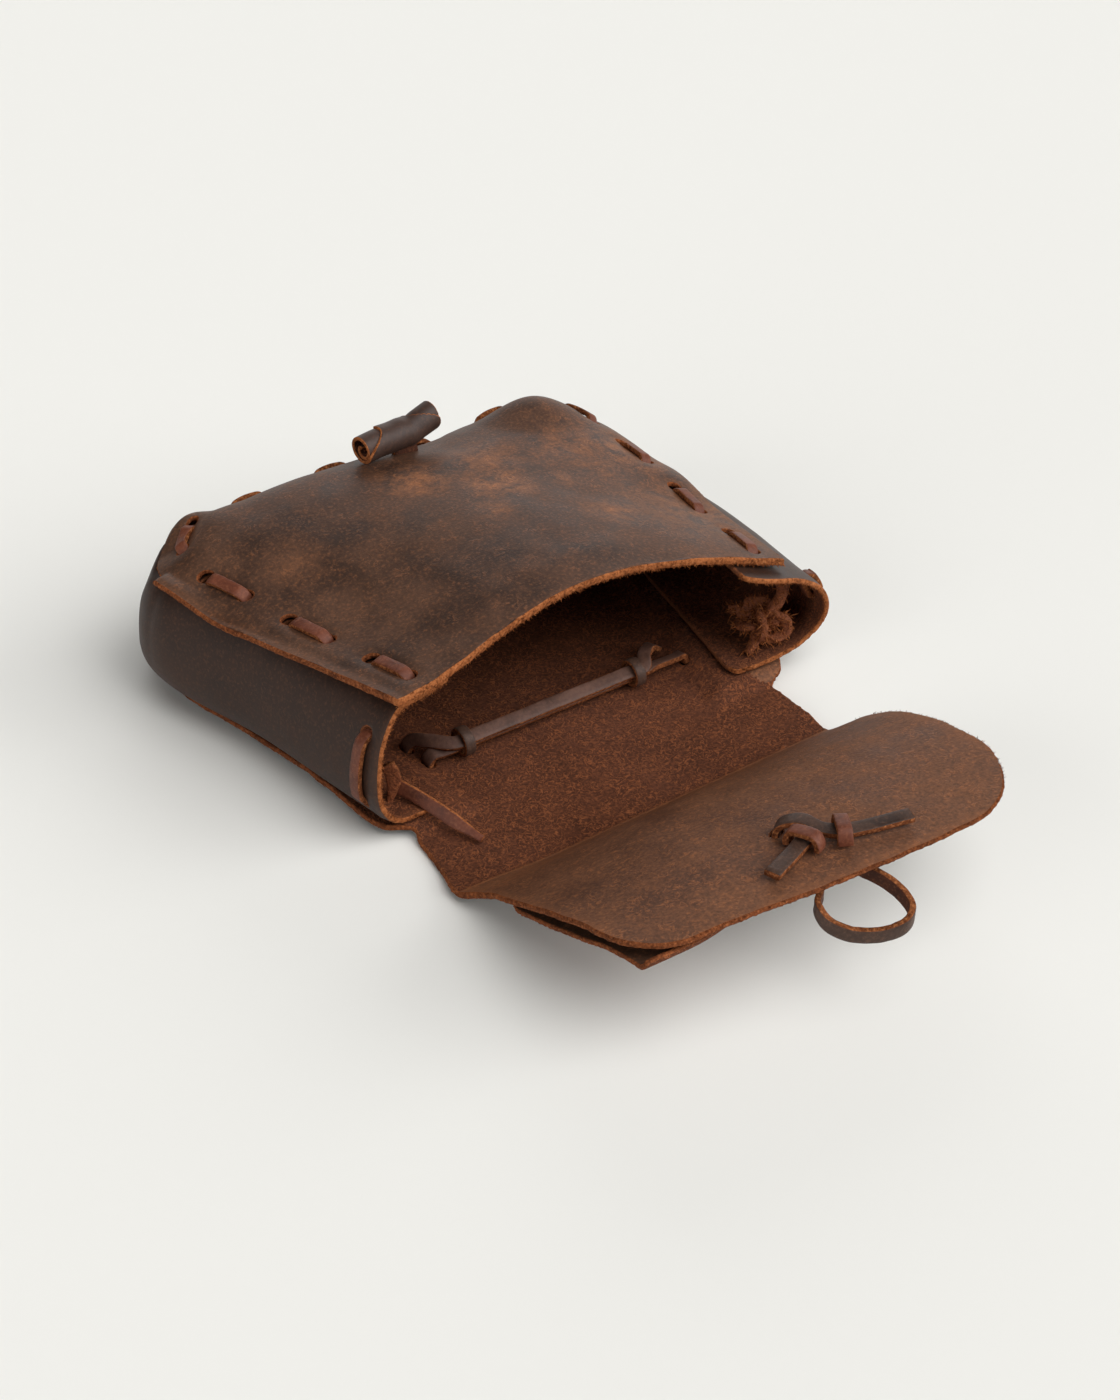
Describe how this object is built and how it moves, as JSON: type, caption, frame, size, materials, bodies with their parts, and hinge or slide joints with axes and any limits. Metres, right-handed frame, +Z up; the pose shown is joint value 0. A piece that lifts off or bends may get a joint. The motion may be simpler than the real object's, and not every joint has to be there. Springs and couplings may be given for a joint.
{
  "type": "leather bag",
  "caption": "Soft laced leather bag lying on its back with the flap folded open, a wraparound gusset, a rolled leather toggle and a closing loop of lace.",
  "frame": {"origin": "on the flat underside of the back panel, between the two sides", "axes": "X across the bag, +Y to the bag's bottom, the flap towards -Y, +Z up from the surface it lies on"},
  "size_m": [0.2076, 0.2784, 0.0695],
  "materials": {
    "panel_leather": "oiled pull-up leather, scuffed lighter in places",
    "gusset_leather": "dark smooth oiled leather with a soft sheen",
    "suede": "burnished flesh side with fine fibres",
    "lace": "reddish-brown flat lace",
    "dark_lace": "dark flat lace with raw orange-brown edges",
    "toggle_leather": "dark smooth leather, rolled"
  },
  "bodies": {
    "root": {"back_panel": "suede", "flap_underlay": "gusset_leather", "gusset": "gusset_leather", "front_panel": "panel_leather", "front_lace": "lace", "back_lace": "lace", "gusset_lace_left": "lace", "gusset_lace_right": "lace", "lace_knot": "lace", "strap_lace_upper": "dark_lace", "strap_lace_lower": "dark_lace", "keeper_left": "dark_lace", "keeper_right": "dark_lace", "toggle": "toggle_leather", "toggle_lace": "dark_lace", "closure_lace": "dark_lace", "knot_band_left": "lace", "knot_band_right": "lace"}
  },
  "joints": []
}
